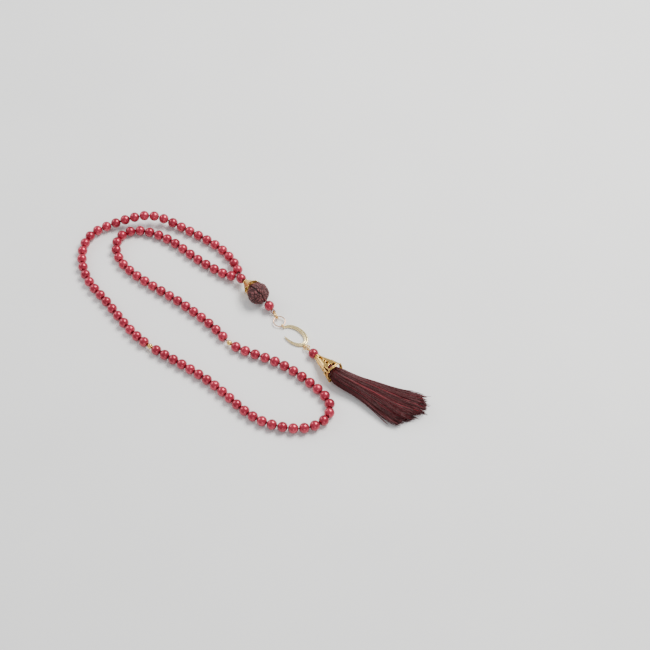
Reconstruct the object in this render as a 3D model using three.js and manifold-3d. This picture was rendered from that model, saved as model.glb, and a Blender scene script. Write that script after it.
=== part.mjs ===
// A misbaha: prayer beads on one closed string, laid down in a long loose loop. Two gold dividers mark
// off the strands, and a head bead carries a short gold chain with an open crescent link and a tassel.
// Millimetres, +Z up, resting on z = 0. +X runs along the loop towards the tassel.
import * as THREE from "three";
import { mergeVertices } from "three/addons/utils/BufferGeometryUtils.js";
import Module from "manifold-3d";

const wasm = await Module();
wasm.setup();

// Driving sizes.
const BEAD_R = 4; // an 8 mm pearl
const BORE_R = 0.85;
const MOUTH_R = 1.3; // flat round the bore's mouth, where neighbouring pearls meet
const STRING_R = 0.5;
const DIVIDER_R = 2.15;
const DIVIDER_PITCH = 4.5;
const HEAD_R = 9;
const CORD_R = 0.75; // both string ends together, through the head
const WIRE_R = 0.4;
const LINK_WIRE_R = 0.5;
const CLEARANCE = 0.3;
const SIDES = 8;
const ORIGIN = new THREE.Vector3(-3.242, -0.992, -0.0186); // centre of the whole outline, at its lowest point

// The pendant, from the two strands' meeting point to the end of the tassel. Each axis points along the
// bore or pin, away from the loop; the collector's points back at the strands.
const COLLECTOR = new THREE.Vector3(-33.2, 39.1, 7.4);
const COLLECTOR_AXIS = new THREE.Vector3(-0.96, 0.13, -0.25).normalize();
const HEAD = new THREE.Vector3(-12.4, 36.7, HEAD_R);
const HEAD_AXIS = new THREE.Vector3(0.9945, -0.105, 0).normalize();
const PETALS = 6;
const PETAL_TIP = 6.4; // distances from the head bead's centre, along its axis
const PETAL_NOTCH = 9.4;
const PETAL_APEX = 15.6;
const LOWER_PEARL = new THREE.Vector3(0.6, 35.4, 5.8);
const LOWER_AXIS = new THREE.Vector3(0.8, -0.1, -0.58).normalize();
const CORD_LOOP = new THREE.Vector3(5.3, 34.75, 3);
const LINK_START = new THREE.Vector3(5.1, 34.8, 2.85);
const LINK_END = new THREE.Vector3(12.3, 32.6, 2.6);
const LINK_HALF_HEIGHT = 2;
const RING = new THREE.Vector3(14.9, 31.5, 2.1);
const RING_R = 4.5;
const EYELET_R = 1.5;
const EYELET_WIRE_R = 0.45;
const EYELET = new THREE.Vector3(19.7, 30.3, 1.95);
const FAR_EYELET = new THREE.Vector3(45.5, 28, 1.95);
const CRESCENT = new THREE.Vector3(32.2, 30, 0.1);
const CRESCENT_HALF_SIZE = [10.9, 6.4]; // of its middle line, an oval arc
const CRESCENT_ARC = [3.22, -2.05];
const CRESCENT_HALF_WIDTH = [0.55, 1.6]; // at the tips and in the middle
const CRESCENT_THICK = 2;
const LOWER_RING = new THREE.Vector3(47.4, 27.4, 2.45);
const LOWER_RING_R = 2.3;
const TASSEL_AXIS = new THREE.Vector3(0.9827, -0.1411, 0.12).normalize();
const CAP_APEX = new THREE.Vector3(59.88, 25.31, 4.68);
const CAP_LENGTH = 22;
const CAP_CORNERS = [1.9, 9]; // axis to corner, at the apex and at the rim
const CAP_ROLL = -Math.PI / 4; // the cap lies on one of its four faces
const CAP_WALL = 1.1;
const PIN_LOOP_R = 1.7;
const PIN_LOOP = CAP_APEX.clone().addScaledVector(TASSEL_AXIS, -10.7);
const TASSEL_PEARL = CAP_APEX.clone().addScaledVector(TASSEL_AXIS, -4.2);
// The thread skirt's middle line with its half width and half height; it lies flat on z = 0 further out.
const SKIRT = [
  [80.5, 22.35, 7.2, 4.9, 4.9],
  [82.3, 22.09, 7.4, 5.3, 5.3],
  [85.8, 22, 7.1, 6.8, 6.7],
  [91.5, 23, 6.5, 7.2, 6.4],
  [101.3, 25.6, 5.4, 8.2, 5.7],
  [111.4, 28.3, 4.7, 10.2, 5.1],
  [123.7, 31, 4.1, 12.6, 4.6],
  [136, 34, 3.7, 15.2, 4.2],
  [147.5, 38.4, 3.3, 16.4, 3.8],
];
const SKIRT_FOLD = 5; // the row of SKIRT where the hanging end bends on its own

const vec = (x, y, z) => new THREE.Vector3(x, y, z);
const along = (point, axis, distance) => point.clone().addScaledVector(axis, distance);
const UP = vec(0, 0, 1);

// ---------------------------------------------------------------- shapes

// A closed body through rings of points. joined: the last ring meets the first; otherwise both ends are capped.
function loft(rings, joined) {
  const count = rings[0].length;
  const positions = rings.flat().flatMap((p) => [p.x, p.y, p.z]);
  const index = [];
  const bands = joined ? rings.length : rings.length - 1;
  for (let i = 0; i < bands; i++) {
    const a = i * count;
    const b = ((i + 1) % rings.length) * count;
    for (let j = 0; j < count; j++) {
      const k = (j + 1) % count;
      index.push(a + j, a + k, b + j, a + k, b + k, b + j);
    }
  }
  if (!joined) {
    const last = (rings.length - 1) * count;
    for (let j = 1; j < count - 1; j++) {
      index.push(0, j + 1, j, last, last + j, last + j + 1);
    }
  }
  const geometry = new THREE.BufferGeometry();
  geometry.setAttribute("position", new THREE.Float32BufferAttribute(positions, 3));
  geometry.setIndex(signedVolume(positions, index) < 0 ? index.reverse() : index);
  return geometry;
}

function signedVolume(positions, index) {
  const at = (i) => vec(...positions.slice(3 * i, 3 * i + 3));
  let volume = 0;
  for (let i = 0; i < index.length; i += 3) {
    volume += at(index[i]).dot(at(index[i + 1]).cross(at(index[i + 2])));
  }
  return volume;
}

// Unit vectors across an axis: level sideways, and upwards.
function across(axis) {
  const side = vec(0, 0, 0).crossVectors(axis, UP).normalize();
  const up = vec(0, 0, 0).crossVectors(side, axis).normalize();
  return [side, up];
}

function ring(centre, axis, radius, sides = SIDES, roll = 0) {
  const [side, up] = across(axis);
  return Array.from({ length: sides }, (_, i) => {
    const angle = roll - Math.PI / 2 + (i * 2 * Math.PI) / sides;
    const point = along(centre, side, radius * Math.cos(angle));
    return along(point, up, radius * Math.sin(angle));
  });
}

// A bored turning: profile is [distance along the axis, radius] from one mouth to the other.
function turning(centre, axis, profile, bore, sides, roll) {
  const outer = profile.map(([s, r]) => ring(along(centre, axis, s), axis, r, sides, roll));
  const ends = [profile[profile.length - 1][0], profile[0][0]];
  const inner = ends.map((s) => ring(along(centre, axis, s), axis, bore, sides, roll));
  return loft([...outer, ...inner], true);
}

// A ball's profile between its two bore mouths, in equal steps of angle.
function ballProfile(radius, mouth, steps) {
  const first = Math.asin(mouth / radius);
  return Array.from({ length: steps + 1 }, (_, i) => {
    const angle = first + ((Math.PI - 2 * first) * i) / steps;
    return [-radius * Math.cos(angle), radius * Math.sin(angle)];
  });
}

// A round wire along points, joined into a link when closed.
function wire(points, radius, closed, sides = 6) {
  const count = points.length;
  const plane = planeNormal(points);
  const rings = points.map((point, i) => {
    const before = points[closed ? (i + count - 1) % count : Math.max(i - 1, 0)];
    const after = points[closed ? (i + 1) % count : Math.min(i + 1, count - 1)];
    const tangent = after.clone().sub(before).normalize();
    const out = vec(0, 0, 0).crossVectors(tangent, plane).normalize();
    const lift = vec(0, 0, 0).crossVectors(out, tangent).normalize();
    return Array.from({ length: sides }, (_, j) => {
      const angle = (j * 2 * Math.PI) / sides;
      return along(along(point, out, radius * Math.cos(angle)), lift, radius * Math.sin(angle));
    });
  });
  return loft(rings, closed);
}

function planeNormal(points) {
  const centre = points.reduce((sum, p) => sum.add(p), vec(0, 0, 0)).divideScalar(points.length);
  const normal = vec(0, 0, 0);
  for (let i = 1; i < points.length; i++) {
    normal.add(points[i - 1].clone().sub(centre).cross(points[i].clone().sub(centre)));
  }
  return normal.lengthSq() > 1e-6 ? normal.normalize() : UP.clone();
}

// An oval of wire in the plane of two unit vectors.
function oval(centre, long, short, halfLong, halfShort, radius, steps = 16) {
  const points = Array.from({ length: steps }, (_, i) => {
    const angle = (i * 2 * Math.PI) / steps;
    return along(along(centre, long, halfLong * Math.cos(angle)), short, halfShort * Math.sin(angle));
  });
  return wire(points, radius, true);
}

function solid(geometry) {
  const bare = geometry.clone();
  bare.deleteAttribute("normal");
  bare.deleteAttribute("uv");
  const merged = mergeVertices(bare, 1e-4);
  return new wasm.Manifold(
    new wasm.Mesh({
      numProp: 3,
      vertProperties: merged.attributes.position.array,
      triVerts: new Uint32Array(merged.index.array),
    }),
  );
}

function geometryOf(body) {
  const mesh = body.getMesh();
  const geometry = new THREE.BufferGeometry();
  geometry.setAttribute("position", new THREE.BufferAttribute(mesh.vertProperties, 3));
  geometry.setIndex(new THREE.BufferAttribute(mesh.triVerts, 1));
  return geometry;
}

const joinedUp = (...parts) => geometryOf(parts.map(solid).reduce((a, b) => a.add(b)));
const cutBy = (body, cutters) =>
  geometryOf(cutters.map(solid).reduce((a, b) => a.subtract(b), solid(body)));

// ---------------------------------------------------------------- materials and nodes

const look = (color, roughness, metalness) =>
  new THREE.MeshStandardMaterial({ color, roughness, metalness });
const LOOKS = {
  pearl: look(0xc23a4e, 0.3, 0.1),
  string: look(0x6b1420, 0.9, 0),
  gold: look(0xe0b04a, 0.25, 1),
  paleGold: look(0xf0e2bd, 0.3, 1),
  carved: look(0x5a3234, 0.75, 0),
  thread: look(0x3c1a20, 0.8, 0),
};

const misbaha = new THREE.Group();
misbaha.position.copy(ORIGIN).negate();

function node(name, geometry, material) {
  const mesh = new THREE.Mesh(geometry, LOOKS[material].clone());
  mesh.name = name;
  misbaha.add(mesh);
}

// ---------------------------------------------------------------- the strung loop

// The loop is laid out in stretches. Neighbouring stretches meet at a gap between pearls, where the string
// folds. route: points the string passes through. threaded: what is on the string, in order: a number is a
// group of that many pearls, { slack } bare string in mm, and a name is a piece of its own.
const STRETCHES = [
  {
    name: "head_outer",
    route: [[-37.5, 40.5, 6.6], [-41.4, 44.6, 5.4], [-51, 48.6, 4.2], [-61.5, 51, 4]],
    threaded: [{ slack: 2.4 }, 3],
  },
  {
    name: "left_outer_back",
    route: [[-61.5, 51, 4], [-74, 51.4, 4], [-89, 49.4, 4], [-103, 46.8, 4]],
    threaded: [5],
  },
  {
    name: "left_outer_turn",
    route: [
      [-103, 46.8, 4], [-112.8, 44.6, 4.6], [-122.4, 40.8, 7.6], [-131.4, 34, 10.4], [-138.6, 25.4, 10.2],
      [-145.8, 17, 7.2], [-152, 7.6, 4.4], [-156.2, -3.4, 4], [-155, -15, 4], [-149, -25.2, 4],
      [-139.6, -33.8, 4], [-128, -40.2, 4], [-115.6, -43.8, 4], [-103, -45.4, 4],
    ],
    threaded: [4, 4, 4, 4, 3],
  },
  {
    name: "left_outer_front",
    route: [[-103, -45.4, 4], [-88, -48.4, 4], [-74, -51.2, 4], [-61.5, -53, 4]],
    threaded: [5],
  },
  {
    name: "front",
    route: [
      [-61.5, -53, 4], [-42.5, -53, 4], [-24, -50.2, 4], [-4, -47.2, 4], [16, -45.4, 4], [36, -46, 4],
      [50, -46.8, 4], [63.4, -45.6, 4],
    ],
    threaded: [2, "divider_bead_1", 4, 3, 3, 3],
  },
  {
    name: "right_front",
    route: [[63.4, -45.6, 4], [71, -43.6, 4], [78.6, -40, 4]],
    threaded: [2],
  },
  {
    name: "right_turn",
    route: [
      [78.6, -40, 4], [87.8, -34.8, 4], [96.2, -26.8, 4], [101.6, -16.2, 4], [100.6, -4.8, 4], [93.4, 2, 4],
      [83.6, 4, 4],
    ],
    threaded: [4, 4],
  },
  {
    name: "right_back",
    route: [[83.6, 4, 4], [75.6, 4.4, 4], [67.4, 4.6, 4]],
    threaded: [2],
  },
  {
    name: "middle",
    route: [
      [67.4, 4.6, 4], [52, 3.8, 4], [36, 0.4, 4], [20, -5.4, 4], [3.2, -10, 4], [-14, -8, 4], [-30, -7.2, 4],
      [-46, -7.6, 4], [-61.5, -8.6, 4],
    ],
    threaded: [4, 4, "divider_bead_2", { slack: 1.6 }, "counting_bead", 3, 3],
  },
  {
    name: "left_inner_front",
    route: [[-61.5, -8.6, 4], [-75, -10.4, 4], [-90, -12, 4], [-103, -12.8, 4]],
    threaded: [5],
  },
  {
    name: "left_inner_turn",
    route: [
      [-103, -12.8, 4], [-114.2, -12.2, 4], [-125.2, -8.8, 4], [-134, -2, 4], [-137.8, 7, 4], [-135, 16, 4],
      [-127.2, 23, 4], [-115.4, 27.8, 4], [-103, 30.4, 4],
    ],
    threaded: [4, 4, 3],
  },
  {
    name: "left_inner_back",
    route: [[-103, 30.4, 4], [-89, 31, 4], [-75, 31.2, 4], [-61.5, 32.6, 4]],
    threaded: [5],
  },
  {
    name: "head_inner",
    route: [[-61.5, 32.6, 4], [-51.2, 34.3, 4.3], [-41.9, 36, 5.2], [-37.5, 38.9, 6.4]],
    threaded: [3, { slack: 1.2 }],
  },
];

// One smooth closed line through every stretch; each stretch is sampled finely between its own ends.
const STEPS = 24;

function sampledStretches() {
  const points = [];
  const starts = STRETCHES.map(({ route }) => {
    const start = points.length;
    points.push(...route.slice(0, -1).map((p) => vec(...p)));
    return start;
  });
  points.push(vec(...STRETCHES[STRETCHES.length - 1].route.at(-1)));
  const curve = new THREE.CatmullRomCurve3(points, false, "centripetal");
  const spans = points.length - 1;
  return STRETCHES.map(({ route }, i) => {
    const count = (route.length - 1) * STEPS;
    return Array.from({ length: count + 1 }, (_, k) => curve.getPoint((starts[i] + k / STEPS) / spans));
  });
}

// A point at a distance along sampled points.
function pointAt(samples, distance) {
  let left = distance;
  for (let i = 1; i < samples.length; i++) {
    const step = samples[i].distanceTo(samples[i - 1]);
    if (left <= step || i === samples.length - 1) return samples[i - 1].clone().lerp(samples[i], left / step);
    left -= step;
  }
  return samples[0].clone();
}

const lengthOf = (samples) => samples.slice(1).reduce((sum, p, i) => sum + p.distanceTo(samples[i]), 0);

// A line of straight pieces from junction to junction, one piece inside each pearl.
class Threading extends THREE.Curve {
  constructor(junctions) {
    super();
    this.junctions = junctions;
  }
  getPoint(t) {
    const place = t * (this.junctions.length - 1);
    const i = Math.min(Math.floor(place), this.junctions.length - 2);
    return this.junctions[i].clone().lerp(this.junctions[i + 1], place - i);
  }
  getPointAt(u) {
    return this.getPoint(u);
  }
  getTangentAt(u) {
    return this.getTangent(u);
  }
}

function stringPiece(junctions) {
  const trimmed = junctions.map((p) => p.clone());
  const last = trimmed.length - 1;
  trimmed[0].lerp(trimmed[1], CLEARANCE / trimmed[0].distanceTo(trimmed[1]));
  trimmed[last].lerp(trimmed[last - 1], CLEARANCE / trimmed[last].distanceTo(trimmed[last - 1]));
  const circle = new THREE.EllipseCurve(0, 0, STRING_R, STRING_R).getPoints(SIDES);
  return new THREE.ExtrudeGeometry(new THREE.Shape(circle.slice(0, SIDES)), {
    steps: last,
    extrudePath: new Threading(trimmed),
    bevelEnabled: false,
  });
}

// Pearls threaded side by side, each on its own straight piece of string, touching at their mouths.
function pearlGroup(junctions) {
  const profile = ballProfile(BEAD_R, MOUTH_R, 4);
  const half = profile[profile.length - 1][0];
  const axes = junctions.slice(1).map((p, i) => p.clone().sub(junctions[i]).normalize());
  const centres = axes.map((_, i) => junctions[i].clone().lerp(junctions[i + 1], 0.5));
  const outer = axes.flatMap((axis, i) =>
    profile.map(([s, r]) => ring(along(centres[i], axis, s), axis, r)),
  );
  const inner = junctions.map((p, i) => {
    if (i === 0) return ring(along(centres[0], axes[0], -half), axes[0], BORE_R);
    if (i === axes.length) return ring(along(centres[i - 1], axes[i - 1], half), axes[i - 1], BORE_R);
    return ring(p, axes[i - 1].clone().add(axes[i]).normalize(), BORE_R);
  });
  return loft([...outer, ...inner.reverse()], true);
}

const isDivider = (item) => String(item).startsWith("divider");

function pearlsIn(item) {
  if (item > 0) return item;
  return item === "counting_bead" ? 1 : 0;
}

// The pearls of a stretch share what the slack and the dividers leave of its length.
function pearlPitch(threaded, length) {
  const slack = threaded.reduce((sum, item) => sum + (item.slack ?? 0), 0);
  const dividers = threaded.filter(isDivider).length;
  const pearls = threaded.reduce((sum, item) => sum + pearlsIn(item), 0);
  return (length - slack - dividers * DIVIDER_PITCH) / pearls;
}

function looseBead(name, from, to) {
  const axis = to.clone().sub(from).normalize();
  const profile = isDivider(name) ? ballProfile(DIVIDER_R, 1.2, 4) : ballProfile(BEAD_R, MOUTH_R, 6);
  const bead = turning(from.clone().lerp(to, 0.5), axis, profile, BORE_R, SIDES);
  node(name, bead, isDivider(name) ? "gold" : "pearl");
}

function strungLoop() {
  const samples = sampledStretches();
  STRETCHES.forEach(({ name, threaded }, i) => {
    const pitch = pearlPitch(threaded, lengthOf(samples[i]));
    const junctions = [pointAt(samples[i], 0)];
    let place = 0;
    let group = 0;
    const step = (length) => {
      place += length;
      junctions.push(pointAt(samples[i], place));
    };
    for (const item of threaded) {
      if (item.slack) {
        step(item.slack);
      } else if (item > 0) {
        const first = junctions.length - 1;
        for (let k = 0; k < item; k++) step(pitch);
        group += 1;
        node(`pearls_${name}_${group}`, pearlGroup(junctions.slice(first)), "pearl");
      } else {
        step(isDivider(item) ? DIVIDER_PITCH : pitch);
        looseBead(item, ...junctions.slice(-2));
      }
    }
    node(`string_${name}`, stringPiece(junctions), "string");
  });
}

// ---------------------------------------------------------------- head bead, chain and crescent

const level = (axis) => vec(axis.x, axis.y, 0).normalize();
const sideways = (axis) => across(axis)[0];

function pearl(name, centre, axis, bore) {
  node(name, turning(centre, axis, ballProfile(BEAD_R, bore + 0.4, 5), bore, SIDES), "pearl");
}

// A flower cap: a cone over the head bead's pole, its rim cut into petals.
function petalCap() {
  const outward = HEAD_AXIS.clone().negate();
  const [side, up] = across(outward);
  const sides = 4 * PETALS;
  const length = PETAL_APEX - PETAL_TIP;
  const radiusAt = (s) => 1.9 + 6 * ((PETAL_APEX - s) / length) ** 1.1;
  const layer = (fraction, inset) =>
    Array.from({ length: sides }, (_, i) => {
      const angle = (i * 2 * Math.PI) / sides;
      const notch = Math.abs(Math.sin((PETALS / 2) * angle)) ** 1.5;
      const rim = PETAL_TIP + (PETAL_NOTCH - PETAL_TIP) * notch;
      const s = PETAL_APEX - fraction * (PETAL_APEX - rim);
      const radius = radiusAt(s) - inset;
      const point = along(along(HEAD, outward, s), side, radius * Math.cos(angle));
      return along(point, up, radius * Math.sin(angle));
    });
  const fractions = [0, 0.2, 0.45, 0.75, 1];
  const outer = fractions.map((f) => layer(f, 0));
  const inner = fractions.map((f) => layer(f, 0.85)).reverse();
  return loft([...outer, ...inner], true);
}

// Both string ends, drawn through the collector, the cap, the head bead and the lower pearl, with the end
// turned into a loop round the oval link.
function headCord() {
  const path = [
    along(COLLECTOR, COLLECTOR_AXIS, 3.6),
    along(COLLECTOR, COLLECTOR_AXIS, -4),
    along(HEAD, HEAD_AXIS, -PETAL_APEX),
    along(HEAD, HEAD_AXIS, -HEAD_R),
    along(HEAD, HEAD_AXIS, HEAD_R),
    along(LOWER_PEARL, LOWER_AXIS, -4),
    along(LOWER_PEARL, LOWER_AXIS, 4.3),
  ];
  const loopAxis = CORD_LOOP.clone().sub(path.at(-1)).normalize();
  return joinedUp(wire(path, CORD_R, false), oval(CORD_LOOP, loopAxis, sideways(loopAxis), 1.5, 1.5, 0.45));
}

function flatRing(centre, radius, from, to) {
  const axis = to.clone().sub(from).normalize();
  return oval(centre, axis, sideways(axis), radius, radius, WIRE_R);
}

const eyelet = (centre, axis) => oval(centre, axis, UP, EYELET_R, EYELET_R, EYELET_WIRE_R, 12);

function crescent() {
  const steps = 22;
  const edge = (sign) =>
    Array.from({ length: steps + 1 }, (_, i) => {
      const t = i / steps;
      const angle = CRESCENT_ARC[0] + (CRESCENT_ARC[1] - CRESCENT_ARC[0]) * t;
      const [a, b] = CRESCENT_HALF_SIZE;
      const normal = new THREE.Vector2(Math.cos(angle) / a, Math.sin(angle) / b).normalize();
      const [thin, wide] = CRESCENT_HALF_WIDTH;
      const half = thin + (wide - thin) * Math.sin(Math.PI * t) ** 0.8;
      return new THREE.Vector2(a * Math.cos(angle), b * Math.sin(angle)).addScaledVector(normal, sign * half);
    });
  const outline = new THREE.Shape([...edge(1), ...edge(-1).reverse()]);
  const plate = new THREE.ExtrudeGeometry(outline, { depth: CRESCENT_THICK, bevelEnabled: false });
  plate.translate(...CRESCENT.toArray());
  const farAxis = level(LOWER_RING.clone().sub(FAR_EYELET));
  return joinedUp(plate, eyelet(EYELET, level(HEAD_AXIS)), eyelet(FAR_EYELET, farAxis));
}

// ---------------------------------------------------------------- tassel

// Axis to cap surface, a rounded point-down square that grows from a round collar.
function capRadius(s, angle) {
  const t = s / CAP_LENGTH;
  const corner = CAP_CORNERS[0] + (CAP_CORNERS[1] - CAP_CORNERS[0]) * t;
  const power = 2 - 0.8 * Math.min(1, t * 1.6);
  return corner / (Math.abs(Math.cos(angle)) ** power + Math.abs(Math.sin(angle)) ** power) ** (1 / power);
}

function capLayer(s, inset) {
  const [side, up] = across(TASSEL_AXIS);
  return Array.from({ length: 8 }, (_, i) => {
    const angle = (i * Math.PI) / 4;
    const radius = capRadius(s, angle) - inset;
    const point = along(along(CAP_APEX, TASSEL_AXIS, s), side, radius * Math.cos(angle + CAP_ROLL));
    return along(point, up, radius * Math.sin(angle + CAP_ROLL));
  });
}

// A cutter through one face of the cap: outline has x across the face and y towards the apex.
function faceCutter(outline, face, s) {
  const [side, up] = across(TASSEL_AXIS);
  const angle = Math.PI / 4 + (face * Math.PI) / 2;
  const out = side.multiplyScalar(Math.cos(angle + CAP_ROLL)).addScaledVector(up, Math.sin(angle + CAP_ROLL));
  const apexward = TASSEL_AXIS.clone().negate();
  const depth = 4;
  const cutter = new THREE.ExtrudeGeometry(outline, { depth, bevelEnabled: false, curveSegments: 3 });
  const turn = new THREE.Matrix4().makeBasis(vec(0, 0, 0).crossVectors(apexward, out), apexward, out);
  const base = along(along(CAP_APEX, TASSEL_AXIS, s), out, capRadius(s, Math.PI / 4) - depth / 2);
  return cutter.applyMatrix4(turn.setPosition(base));
}

function roundHole(radius) {
  return new THREE.Shape().absarc(0, 0, radius, 0, 2 * Math.PI);
}

function slot(halfWidth, halfLength) {
  const shape = new THREE.Shape();
  shape.absarc(0, halfLength, halfWidth, 0, Math.PI);
  shape.absarc(0, -halfLength, halfWidth, Math.PI, 2 * Math.PI);
  return shape;
}

const halfMoon = (radius) => new THREE.Shape().absarc(0, 0, radius, 0, Math.PI);

function tasselCap() {
  const places = [0, 3, 11, CAP_LENGTH];
  const outer = places.map((s) => capLayer(s, 0));
  const inner = places.map((s) => capLayer(s, CAP_WALL)).reverse();
  const shell = loft([...outer, ...inner], true);
  const cutters = [0, 1, 2, 3].flatMap((face) => [
    faceCutter(slot(0.7, 1.5), face, 5.2),
    faceCutter(roundHole(0.9), face, 9.8),
    faceCutter(roundHole(1.1), face, 13),
    faceCutter(halfMoon(3.9), face, 20.2),
  ]);
  return cutBy(shell, cutters);
}

function tasselPin() {
  const [, up] = across(TASSEL_AXIS);
  const loop = oval(PIN_LOOP, TASSEL_AXIS, up, PIN_LOOP_R, PIN_LOOP_R, WIRE_R, 14);
  const shaft = [-9.2, 5.8].map((s) => ring(along(CAP_APEX, TASSEL_AXIS, s), TASSEL_AXIS, WIRE_R, 6));
  return joinedUp(loop, loft(shaft, false));
}

// The knotted top of the thread, bound inside the cap.
function binding() {
  const profile = [[10.5, 2.3], [12, 3], [16, 4], [20.4, 4.6]];
  const rings = profile.map(([s, r]) => ring(along(CAP_APEX, TASSEL_AXIS, s), TASSEL_AXIS, r, 10));
  return loft(rings, false);
}

// The skirt from row to row; each row is [its number in SKIRT, a shift along the middle line].
function skirt(rows) {
  const centres = SKIRT.map(([x, y, z]) => vec(x, y, z));
  const rings = rows.map(([row, shift]) => {
    const before = centres[Math.max(row - 1, 0)];
    const after = centres[Math.min(row + 1, centres.length - 1)];
    const axis = row < 2 ? TASSEL_AXIS : level(after.clone().sub(before));
    const [side, up] = across(axis);
    const [, , , halfWidth, halfHeight] = SKIRT[row];
    return Array.from({ length: 14 }, (_, i) => {
      const angle = (i * 2 * Math.PI) / 14;
      const point = along(along(centres[row], axis, shift), side, halfWidth * Math.cos(angle));
      point.addScaledVector(up, halfHeight * Math.sin(angle));
      point.z = Math.max(point.z, 0);
      return point;
    });
  });
  return loft(rings, false);
}

function ovalLink() {
  const axis = LINK_END.clone().sub(LINK_START).normalize();
  const halfLength = LINK_START.distanceTo(LINK_END) / 2;
  const centre = LINK_START.clone().lerp(LINK_END, 0.5);
  return oval(centre, axis, across(axis)[1], halfLength, LINK_HALF_HEIGHT, LINK_WIRE_R);
}

strungLoop();
pearl("collector_bead", COLLECTOR, COLLECTOR_AXIS, 1.15);
node("bead_cap", petalCap(), "gold");
node("head_bead", turning(HEAD, HEAD_AXIS, ballProfile(HEAD_R, 1.8, 8), 1.3, 12), "carved");
pearl("lower_pearl", LOWER_PEARL, LOWER_AXIS, 1.15);
node("head_cord", headCord(), "string");
node("oval_link", ovalLink(), "gold");
node("upper_ring", flatRing(RING, RING_R, LINK_END, EYELET), "gold");
node("crescent_link", crescent(), "paleGold");
node("lower_ring", flatRing(LOWER_RING, LOWER_RING_R, FAR_EYELET, PIN_LOOP), "gold");
node("tassel_pin", tasselPin(), "gold");
pearl("tassel_pearl", TASSEL_PEARL, TASSEL_AXIS, 0.85);
node("tassel_cap", tasselCap(), "gold");
node("tassel_binding", binding(), "thread");
const skirtRows = SKIRT.map((_, i) => [i, 0]);
node("tassel_skirt", skirt([...skirtRows.slice(0, SKIRT_FOLD), [SKIRT_FOLD, -0.2]]), "thread");
node("tassel_skirt_end", skirt([[SKIRT_FOLD, 0.2], ...skirtRows.slice(SKIRT_FOLD + 1)]), "thread");

export default misbaha;
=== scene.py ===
# A misbaha laid flat: pearls on a closed string, a capped head bead, a short gold chain and a tassel.
import math
import random

import bmesh
import bpy
from mathutils import Matrix, Vector, noise


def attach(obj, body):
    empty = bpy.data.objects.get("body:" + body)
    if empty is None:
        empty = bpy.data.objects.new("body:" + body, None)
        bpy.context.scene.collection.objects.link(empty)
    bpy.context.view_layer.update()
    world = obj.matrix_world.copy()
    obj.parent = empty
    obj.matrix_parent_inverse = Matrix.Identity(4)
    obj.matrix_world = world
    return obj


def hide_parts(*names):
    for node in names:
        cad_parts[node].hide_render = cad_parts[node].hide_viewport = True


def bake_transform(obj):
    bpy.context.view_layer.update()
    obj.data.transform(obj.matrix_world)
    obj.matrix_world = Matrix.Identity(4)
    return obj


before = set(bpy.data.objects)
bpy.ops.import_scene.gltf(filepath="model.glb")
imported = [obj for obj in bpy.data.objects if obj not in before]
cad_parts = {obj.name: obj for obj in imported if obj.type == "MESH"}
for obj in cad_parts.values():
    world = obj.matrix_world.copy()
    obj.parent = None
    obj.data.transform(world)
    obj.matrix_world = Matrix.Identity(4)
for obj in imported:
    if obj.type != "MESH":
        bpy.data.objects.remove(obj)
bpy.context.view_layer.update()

# Everything below is laid out in millimetres, as the solids are, and moved by ORIGIN into the row frame.
MM = 0.001
ORIGIN = Vector((-3.242, -0.992, -0.0186))
UP = Vector((0, 0, 1))
TAU = 2 * math.pi


def at(p):
    return (Vector(p) - ORIGIN) * MM


# ---------------------------------------------------------------- camera

TARGET = Vector((0.04789, 0.05277, 0.004))
AZIMUTH, ELEVATION = math.radians(41.74), math.radians(55.67)
DISTANCE = 1.1968
LENS = 85.0


def make_camera():
    data = bpy.data.cameras.new("camera")
    data.sensor_width = 36.0
    data.lens = LENS
    data.clip_start, data.clip_end = 0.02, 20
    camera = bpy.data.objects.new("camera", data)
    bpy.context.scene.collection.objects.link(camera)
    back = Vector((math.sin(AZIMUTH) * math.cos(ELEVATION), -math.cos(AZIMUTH) * math.cos(ELEVATION),
                   math.sin(ELEVATION)))
    camera.location = TARGET + back * DISTANCE
    camera.rotation_euler = (-back).to_track_quat("-Z", "Y").to_euler()
    bpy.context.scene.camera = camera


make_camera()

# ---------------------------------------------------------------- the part's sizes and places

BEAD_R = 4.0
MOUTH_R = 1.15
BORE_R = 0.85
STRING_R = 0.5
DIVIDER_R = 2.15
DIVIDER_PITCH = 4.5
HEAD_R = 9.0
CORD_R = 0.75
WIRE_R = 0.4
LINK_WIRE_R = 0.5
COLLECTOR = Vector((-33.2, 39.1, 7.4))
COLLECTOR_AXIS = Vector((-0.96, 0.13, -0.25)).normalized()
HEAD = Vector((-12.4, 36.7, HEAD_R))
HEAD_AXIS = Vector((0.9945, -0.105, 0)).normalized()
PETALS = 6
PETAL_TIP, PETAL_NOTCH, PETAL_APEX = 6.4, 9.4, 15.6  # from the head's middle
LOWER_PEARL = Vector((0.6, 35.4, 5.8))
LOWER_AXIS = Vector((0.8, -0.1, -0.58)).normalized()
CORD_LOOP = Vector((5.3, 34.75, 3))
LINK_START = Vector((5.1, 34.8, 2.85))
LINK_END = Vector((12.3, 32.6, 2.6))
LINK_HALF_HEIGHT = 2.0
RING = Vector((14.9, 31.5, 2.1))
RING_R = 4.5
EYELET = Vector((19.7, 30.3, 1.95))
EYELET_R, EYELET_WIRE_R = 1.5, 0.45
FAR_EYELET = Vector((45.5, 28, 1.95))
CRESCENT = Vector((32.2, 30, 0.1))
CRESCENT_HALF_SIZE = (10.9, 6.4)
CRESCENT_ARC = (3.22, -2.05)  # radians
CRESCENT_HALF_WIDTH = (0.55, 1.6)
CRESCENT_THICK = 2.0
LOWER_RING = Vector((47.4, 27.4, 2.45))
LOWER_RING_R = 2.3
TASSEL_AXIS = Vector((0.9827, -0.1411, 0.12)).normalized()
CAP_APEX = Vector((59.88, 25.31, 4.68))
CAP_LENGTH = 22.0
CAP_CORNERS = (1.9, 9.0)  # from axis to corner, at the point and at the rim
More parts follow.
